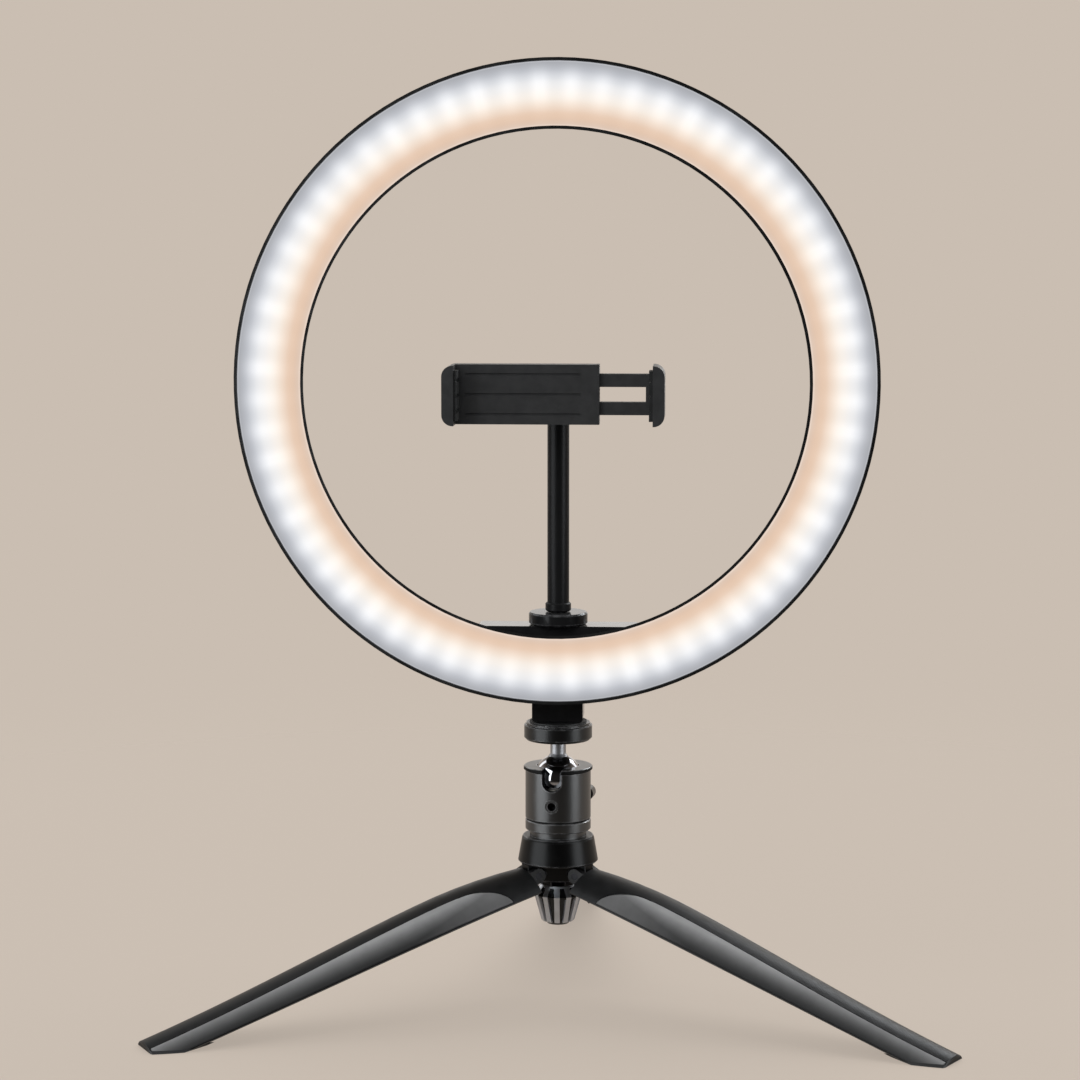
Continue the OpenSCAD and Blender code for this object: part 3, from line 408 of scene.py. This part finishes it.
def finish(name, dark, light, shine, cloud_mm=4, grain_mm=0, depth_mm=0,
           metallic=0, level=0.5, turned=False, bare=None):
    """Colour wanders from dark to light and roughness over shine; the grain is depth_mm deep, and
    worn edges show the bare colour."""
    material, tree, shader = new_material(name)
    cloud = noise(tree, own_place(tree), cloud_mm)
    tint = tree.nodes.new("ShaderNodeValToRGB")
    for stop, position, colour in zip(tint.color_ramp.elements, CLOUD, (dark, light)):
        stop.position = position
        stop.color = (*colour, 1)
    tree.links.new(cloud, tint.inputs["Fac"])
    base = tint.outputs["Color"]
    if bare:
        base = mixed(tree, "MIX", worn_edges(tree), base, (*bare, 1))
    tree.links.new(base, shader.inputs["Base Color"])
    tree.links.new(ranged(tree, cloud, *CLOUD, *shine), shader.inputs["Roughness"])
    shader.inputs["Metallic"].default_value = metallic
    shader.inputs["Specular IOR Level"].default_value = level
    if depth_mm:
        where = turned_place(tree) if turned else own_place(tree)
        raised = tree.nodes.new("ShaderNodeBump")
        raised.inputs["Distance"].default_value = depth_mm / 1000
        tree.links.new(noise(tree, where, grain_mm, 2), raised.inputs["Height"])
        tree.links.new(raised.outputs["Normal"], shader.inputs["Normal"])
    return material


def dress(material, *names):
    """Gives one finish to whole pieces of the frame."""
    for name in names:
        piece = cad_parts[name]
        piece.data.materials.clear()
        piece.data.materials.append(material)
    print(material.name, "dresses", ", ".join(names))


# %% [markdown]
# ## Tripod hub
# The collar that joins the legs is a zinc casting under gloss black powder coat. Powder flows as it
# bakes and leaves a shallow orange peel, under a millimetre wide, which wobbles the highlights.

# %% Powder coat
dress(finish("powder_coat", (0.004, 0.004, 0.004), (0.007, 0.007, 0.007), (0.30, 0.33), cloud_mm=7,
             grain_mm=0.8, depth_mm=0.0006, level=0.125, bare=(0.30, 0.30, 0.31)),
      "hub_collar", "hinge_core")

# %% [markdown]
# ## Ball head
# Head, base and platform are turned from aluminium and anodised black. The tool leaves rings so fine
# that they only stretch the highlights: a noise that depends on height and distance from the axis
# alone, and not on the angle, draws such rings on walls and flat tops alike. A band of heights on the
# head's lip gets a dull, dark shader: painted shade for the shadow line under the lip.

# %% Anodised head
HEAD_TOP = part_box("head_body")[1][2]
LIP_LOW = HEAD_TOP - 0.00185
LIP_HIGH = HEAD_TOP - 0.0003

anodised = finish("black_anodised", (0.005, 0.005, 0.005), (0.007, 0.007, 0.007), (0.30, 0.33),
                  cloud_mm=9, grain_mm=0.4, depth_mm=0.00008, level=0.92, turned=True,
                  bare=(0.50, 0.50, 0.51))
tree = anodised.node_tree
_, _, height = coordinates(tree, own_place(tree))
# painted shade: a band of heights on the lip gets a dull, dark shader in place of the shadow line under
# the lip
lip_shade_band = maths(tree, "MULTIPLY", maths(tree, "GREATER_THAN", height, LIP_LOW),
               maths(tree, "LESS_THAN", height, LIP_HIGH))
painted_lip_shade = plain_shader(tree, (0.006, 0.006, 0.006), 0.5, 0.1)
surface(tree, shader_mix(tree, lip_shade_band, tree.nodes["Principled BSDF"].outputs[0], painted_lip_shade))
dress(anodised, "head_base", "head_body")

# %% [markdown]
# ### Platform, wheel and rod
# The platform and the lock wheel come from the same lathe, but were dyed longer and shine less, and
# the wheel is a shade greyer. The rod wears a thin lacquer that dries almost smooth.

# %% Platform, wheel and rod
dress(finish("platform_anodised", (0.006, 0.006, 0.006), (0.008, 0.008, 0.008), (0.30, 0.33),
             cloud_mm=9, grain_mm=0.4, depth_mm=0.00008, level=0.38, turned=True,
             bare=(0.45, 0.45, 0.46)), "platform")
dress(finish("wheel_anodised", (0.028, 0.028, 0.029), (0.034, 0.034, 0.035), (0.16, 0.19),
             cloud_mm=9, grain_mm=0.4, depth_mm=0.00008, level=0.12, turned=True,
             bare=(0.40, 0.40, 0.41)), "lock_wheel")
dress(finish("rod_lacquer", (0.026, 0.026, 0.027), (0.031, 0.031, 0.032), (0.34, 0.38),
             cloud_mm=12, level=0.075), "holder_rod")

# %% [markdown]
# ## Legs
# The legs are glass-filled nylon from a spark-eroded mould, satin with a sandy grain. A softer
# grey rubber is moulded into their sides as a grip, and the feet are black rubber.

# %% Legs and rubber
dress(finish("leg_nylon", (0.006, 0.006, 0.0062), (0.009, 0.009, 0.0093), (0.42, 0.48),
             grain_mm=0.3, depth_mm=0.0006, level=0.30), "leg_left", "leg_right", "leg_back")
dress(finish("black_rubber", (0.008, 0.008, 0.008), (0.012, 0.012, 0.012), (0.55, 0.68),
             grain_mm=0.3, depth_mm=0.006, level=0.5), "foot_left", "foot_right", "foot_back",
      "platform_pad", "cable_gland", "fixed_pad", "moving_pad")

# %% [markdown]
# ### Grips with painted light and shade
# Light from above is painted into the grey of each grip: pale along its upper edge, dark along its
# lower edge. The painted shade must follow the leg, which falls outwards: height plus distance from
# the axis times a slope is the same number all along the grip, so one range of it scales the colour
# from the lower to the upper edge. By the hub the whole grip is painted paler, as painted light.

# %% Grips
GRIP_SLOPE = math.tan(math.radians(18.5))
GRIP_LOW = 0.0560
GRIP_HIGH = 0.0632
TOP_LIGHT_POWER = 2.2
DARKEST = 0.09
TOP_LIGHT_GAIN = 0.93
HUB_NEAR = 0.038
HUB_FAR = 0.078
HUB_SHADE = 0.62
FAR_SHADE = 0.05

rubber = finish("grip_rubber", (0.39, 0.39, 0.39), (0.43, 0.43, 0.43), (0.52, 0.60), cloud_mm=6,
                grain_mm=0.25, depth_mm=0.002, level=0.13)
tree = rubber.node_tree
_, _, reach, height = from_axis(tree)
# painted light and shade: the grip's grey is scaled from dark at its lower edge to pale at its upper
# edge, and lifted near the hub
level_with_leg = maths(tree, "MULTIPLY_ADD", reach, GRIP_SLOPE, height)
painted_top_light = maths(tree, "POWER", ranged(tree, level_with_leg, GRIP_LOW, GRIP_HIGH, 0, 1), TOP_LIGHT_POWER)
painted_hub_light = ranged(tree, reach, HUB_NEAR, HUB_FAR, HUB_SHADE, FAR_SHADE)
shade = tree.nodes.new("ShaderNodeVectorMath")
shade.operation = "SCALE"
tree.links.new(maths(tree, "MAXIMUM", maths(tree, "MULTIPLY_ADD", painted_top_light, TOP_LIGHT_GAIN, DARKEST), painted_hub_light),
               shade.inputs["Scale"])
colour = tree.nodes["Principled BSDF"].inputs["Base Color"]
tree.links.new(colour.links[0].from_socket, shade.inputs[0])
tree.links.new(shade.outputs[0], colour)
dress(rubber, "grips_left", "grips_right", "grips_back")

# %% [markdown]
# ## Knobs
# The wing knob on the head and the core of the centre knob are plain black nylon. Twelve ribs and
# the top edge of the centre knob are hot-stamped with silver foil. The foil touches only what stands
# proud, so its mask is measured: how far a point lies from the middle of the nearest rib, and whether
# it lies in the top edge.

# %% Knobs
RIB_COUNT = 12
RIB_HALF_WIDTH = 0.0012
TOP_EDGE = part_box("knob_ribs")[1][2] - 0.0007

dress(finish("knob_nylon", (0.005, 0.005, 0.005), (0.008, 0.008, 0.008), (0.20, 0.26),
             grain_mm=0.5, depth_mm=0.002), "knob_core", "clamp_knob", "socket_nut")

foil = finish("silver_foil", (0.58, 0.60, 0.64), (0.66, 0.68, 0.72), (0.42, 0.50),
              grain_mm=0.3, depth_mm=0.003, metallic=1)
tree = foil.node_tree
x, y, reach, height = from_axis(tree)
turn = maths(tree, "ARCTAN2", x, y)
off_rib = maths(tree, "MULTIPLY", reach, maths(tree, "PINGPONG", turn, math.pi / RIB_COUNT))
stamped = maths(tree, "MAXIMUM", maths(tree, "LESS_THAN", off_rib, RIB_HALF_WIDTH),
                maths(tree, "GREATER_THAN", height, TOP_EDGE))
nylon = plain_shader(tree, (0.006, 0.006, 0.006), 0.24, 0.35)
surface(tree, shader_mix(tree, stamped, nylon, tree.nodes["Principled BSDF"].outputs[0]))
dress(foil, "knob_ribs")

# %% [markdown]
# ## Bracket, clip and housing
# Bracket and clip are moulded in polished tools, so their flat tops turn as pale as the room where
# one looks along them. The back of the ring has a coarser leather-like grain that hides fingerprints.

# %% Black mouldings
dress(finish("bracket_nylon", (0.030, 0.030, 0.032), (0.037, 0.037, 0.039), (0.14, 0.18)),
      "lamp_bracket")
dress(finish("clip_abs", (0.085, 0.085, 0.086), (0.095, 0.095, 0.096), (0.38, 0.44),
             grain_mm=0.4, depth_mm=0.0015, level=0.3), "clip_body", "jaw_slider")
dress(finish("housing_abs", (0.008, 0.008, 0.008), (0.012, 0.012, 0.012), (0.32, 0.42),
             cloud_mm=8, grain_mm=0.6, depth_mm=0.012, level=0.55), "rear_housing")

# %% [markdown]
# ## Metals
# The ball is chromed and then tinted black, so it mirrors the softboxes but little of the room. Its
# neck and stud are the same piece, but were held in the turning fixture and stay satin, so the
# finish changes at a height just above the ball. Screws wear bright zinc, pins and studs are
# blackened steel, and the threaded inserts are brass.

# %% Ball stud
NECK_BELOW_PLATFORM = 0.0072
HALF_BLUR = 0.0005
BALL_TINT = (0.40, 0.40, 0.42, 1)
NECK_TINT = (0.28, 0.28, 0.29, 1)
BALL_SHINE = (0.05, 0.08)
NECK_ROUGHER = 0.36

chrome, tree, shader = new_material("dark_chrome")
_, _, height = coordinates(tree, own_place(tree))
neck_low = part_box("platform")[0][2] - NECK_BELOW_PLATFORM
on_neck = ranged(tree, height, neck_low - HALF_BLUR, neck_low + HALF_BLUR, 0, 1)
tree.links.new(mixed(tree, "MIX", on_neck, BALL_TINT, NECK_TINT), shader.inputs["Base Color"])
shine = ranged(tree, noise(tree, turned_place(tree), 1.5), *CLOUD, *BALL_SHINE)
tree.links.new(maths(tree, "MULTIPLY_ADD", on_neck, NECK_ROUGHER, shine), shader.inputs["Roughness"])
shader.inputs["Metallic"].default_value = 1
dress(chrome, "ball_stud")

# %% Screws, pins and inserts
dress(finish("zinc_plate", (0.52, 0.53, 0.55), (0.60, 0.61, 0.62), (0.26, 0.36),
             grain_mm=0.3, depth_mm=0.002, metallic=1),
      "housing_screws", "bracket_screws", "board_nuts")
dress(finish("black_steel", (0.020, 0.020, 0.022), (0.030, 0.030, 0.032), (0.30, 0.38),
             grain_mm=0.4, depth_mm=0.001, metallic=1),
      "hinge_pins", "seat_screw", "centre_screw", "rod_stud")
dress(finish("turned_steel", (0.46, 0.46, 0.48), (0.55, 0.55, 0.57), (0.24, 0.34),
             grain_mm=0.4, depth_mm=0.001, metallic=1), "clamp_screw", "jaw_spring")
dress(finish("turned_brass", (0.60, 0.42, 0.16), (0.72, 0.52, 0.22), (0.22, 0.32),
             grain_mm=0.4, depth_mm=0.001, metallic=1, turned=True), "lower_insert", "upper_insert")

# %% [markdown]
# ## Jaw spring
# The clip grips with a coil spring between the fixed body and the sliding jaw. A thin wire follows a
# helix whose first and last turns lie closed, as a spring winder makes them to stand square. The coil
# must shorten as the jaw opens, but here it is built once, at the length of the tube it replaces.

# %% Spring's path
WIRE_RADIUS = 0.00022
TURNS = 24
STEPS = 20
SIDES = 8

low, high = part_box("jaw_spring")
centre = (low + high) / 2
coil_radius = (high[2] - low[2]) / 2 - WIRE_RADIUS
first = low[0] + WIRE_RADIUS
travel = high[0] - low[0] - 2 * WIRE_RADIUS
closed = 2 * WIRE_RADIUS
pitch = (travel - 2 * closed) / (TURNS - 2)
points = []
for step in range(TURNS * STEPS + 1):
    turn = step / STEPS
    closed_turns = min(turn, 1) + max(turn - TURNS + 1, 0)
    open_turns = min(max(turn - 1, 0), TURNS - 2)
    around = 2 * math.pi * turn
    outward = Vector((0, math.cos(around), math.sin(around)))
    along = closed * closed_turns + pitch * open_turns
    middle = Vector((first + along, centre[1], centre[2])) + coil_radius * outward
    for side in range(SIDES):
        a = 2 * math.pi * side / SIDES
        spoke = math.cos(a) * outward + math.sin(a) * Vector((1, 0, 0))
        points.append(middle + WIRE_RADIUS * spoke)
print("spring is", round(1000 * (high[0] - low[0]), 1), "mm long, pitch", round(1000 * pitch, 2), "mm")

# %% [markdown]
# ### Its mesh
# Each ring of eight points joins the next one with eight quads, and one face closes either end. The
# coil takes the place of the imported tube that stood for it.

# %% Spring's mesh
wire = bpy.data.meshes.new("spring_coil")
quads = []
for ring in range(0, TURNS * STEPS * SIDES, SIDES):
    for side in range(SIDES):
        beside = (side + 1) % SIDES
        quads.append((ring + side, ring + beside, ring + SIDES + beside, ring + SIDES + side))
ends = [tuple(range(SIDES))[::-1], tuple(range(len(points) - SIDES, len(points)))]
wire.from_pydata(points, [], quads + ends)
wire.polygons.foreach_set("use_smooth", [True] * len(quads) + [False] * len(ends))
wire.materials.append(bpy.data.materials["turned_steel"])
coil = bpy.data.objects.new("spring_coil", wire)
bpy.context.scene.collection.objects.link(coil)
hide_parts("jaw_spring")
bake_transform(coil)
print("coil has", len(wire.polygons), "faces")

# %% [markdown]
# ## Hidden pieces
# The ball turns in a seat of natural nylon. Behind the face lies a white circuit board with a row
# of warm and a row of cool LEDs, whose phosphor looks yellow when unlit. They show when the piece
# is cut open or taken apart, so they get their own finishes too.

# %% Hidden pieces
dress(finish("natural_nylon", (0.66, 0.63, 0.55), (0.74, 0.71, 0.63), (0.45, 0.55),
             grain_mm=0.5, depth_mm=0.003), "ball_seat")
dress(finish("solder_mask", (0.78, 0.79, 0.78), (0.84, 0.84, 0.82), (0.30, 0.38),
             grain_mm=1.2, depth_mm=0.004), "led_board")
dress(finish("cool_phosphor", (0.82, 0.80, 0.44), (0.86, 0.84, 0.50), (0.2, 0.3), cloud_mm=1),
      "leds_cool")
dress(finish("warm_phosphor", (0.84, 0.56, 0.14), (0.88, 0.62, 0.20), (0.2, 0.3), cloud_mm=1),
      "leds_warm")

# %% [markdown]
# ## Glowing face
# Behind the opal ring shine two rows of LEDs: warm ones near the hole, cool ones further out. The
# face blurs them into soft spots. Real lamps behind a translucent sheet would be exact but grainy
# to render, so the face glows by itself. It needs to know how far across the ring a point lies and
# at which angle: both come from the piece's own coordinates.

# %% Place on the face
low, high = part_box("rear_housing")
RING_HEIGHT = (low[2] + high[2]) / 2
RING_OUTER = (high[0] - low[0]) / 2
low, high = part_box("diffuser")
FACE_OUTER = (high[0] - low[0]) / 2
RING_WIDTH = 0.0282
RING_INNER = RING_OUTER - RING_WIDTH

opal, tree, shader = new_material("opal_face")
across, _, height = coordinates(tree, own_place(tree))
below = maths(tree, "SUBTRACT", RING_HEIGHT, height)
radius = hypotenuse(tree, across, below)
part = maths(tree, "DIVIDE", maths(tree, "SUBTRACT", radius, RING_INNER), RING_WIDTH)
angle = maths(tree, "ARCTAN2", across, below)
print("ring radius", round(RING_OUTER, 4), "m, face radius", round(FACE_OUTER, 4),
      "m, centre at a height of", round(RING_HEIGHT, 4), "m")

# %% [markdown]
# ### Bands
# Across the ring the glow runs from apricot over warm white to a cool grey. A colour ramp holds it,
# with a second ramp for how strongly the single LEDs stand out: most where the cool row lies.


# %% Bands
def ramp(stops):
    """Colours by the part of the ring's width, from its hole outwards."""
    node = tree.nodes.new("ShaderNodeValToRGB")
    node.color_ramp.interpolation = "CARDINAL"
    elements = node.color_ramp.elements
    while len(elements) < len(stops):
        elements.new(1.0)
    for element, (position, colour) in zip(elements, stops):
        element.position = position
        element.color = (*colour, 1)
    tree.links.new(part, node.inputs["Fac"])
    return node.outputs["Color"]


def grey(value):
    return (value, value, value)


bands = ramp((
    (0.05, (0.72, 0.57, 0.47)), (0.15, (0.77, 0.565, 0.43)), (0.26, (0.83, 0.645, 0.515)),
    (0.40, (0.92, 0.82, 0.73)), (0.54, (0.905, 0.87, 0.84)), (0.68, (0.785, 0.79, 0.81)),
    (0.80, (0.57, 0.585, 0.625)), (0.92, (0.41, 0.42, 0.45))))
prominence = ramp((
    (0.22, grey(0.02)), (0.46, grey(0.088)), (0.60, grey(0.122)), (0.68, grey(0.142)),
    (0.76, grey(0.108)), (0.86, grey(0.048)), (0.95, grey(0.01))))
print("bands cover", RING_WIDTH, "m from a radius of", round(RING_INNER, 4))

# %% [markdown]
# ### Spots
# Sixty cool LEDs stand half a step beside the lowest point. A cosine of the angle peaks at each of
# them, and a random number for each LED lets their brightness differ as in any cheap batch.

# %% Spots
LED_COUNT = 60
SPOT_POWER = 1.2
DULLEST_LED = 0.82
BATCH_SPREAD = 0.35

steps = maths(tree, "MULTIPLY", angle, LED_COUNT / (2 * math.pi))
wave = maths(tree, "COSINE", maths(tree, "MULTIPLY_ADD", steps, 2 * math.pi, math.pi))
lobe = maths(tree, "POWER", maths(tree, "MULTIPLY_ADD", wave, 0.5, 0.5), SPOT_POWER)
chance = tree.nodes.new("ShaderNodeTexWhiteNoise")
chance.noise_dimensions = "1D"
tree.links.new(maths(tree, "FLOOR", steps), chance.inputs["W"])
strength = maths(tree, "MULTIPLY_ADD", chance.outputs["Value"], BATCH_SPREAD, DULLEST_LED)
spot = maths(tree, "MULTIPLY", lobe, strength)
print("one LED every", 360 / LED_COUNT, "degrees")

# %% [markdown]
# ### Rims
# A thin pale line is painted into the glow just inside the black rims: a painted highlight on the
# face's bevelled edges.

# %% Rims
RING_MIDDLE = RING_OUTER - RING_WIDTH / 2
LINE_IN = FACE_OUTER - 0.0007 - RING_MIDDLE
LINE_OUT = FACE_OUTER - 0.0003 - RING_MIDDLE
RIM_HIGHLIGHT_GLOW = 0.09

off_middle = maths(tree, "ABSOLUTE", maths(tree, "SUBTRACT", radius, RING_MIDDLE))
# painted highlight: a pale line added to the glow along the face's bevelled edges
edge = ranged(tree, off_middle, LINE_IN, LINE_OUT, 0, RIM_HIGHLIGHT_GLOW, smooth=True)
spots = mixed(tree, "ADD", spot, bands, prominence)
glow = mixed(tree, "ADD", edge, spots, (1, 1, 1, 1))
print("pale lines start", round(1000 * LINE_IN, 2), "mm from the middle of the ring's width")

# %% [markdown]
# ### Glow
# The face is also lit from outside, like white plastic in daylight. That share is taken off the
# glow again, so that the colours come out as the ramps give them.

# %% Glow
FACE_WHITE = 0.06
LIT_SHARE = 0.017
FACE_CLOUD_MM = 2.5
FACE_SHINE = (0.56, 0.64)

own_glow = mixed(tree, "SUBTRACT", 1.0, glow, (*grey(LIT_SHARE), 1))
tree.links.new(own_glow, shader.inputs["Emission Color"])
shader.inputs["Emission Strength"].default_value = 1.0
shader.inputs["Base Color"].default_value = (*grey(FACE_WHITE), 1)
cloud = noise(tree, own_place(tree), FACE_CLOUD_MM)
tree.links.new(ranged(tree, cloud, *CLOUD, *FACE_SHINE), shader.inputs["Roughness"])
shader.inputs["Specular IOR Level"].default_value = 0.15
dress(opal, "diffuser")
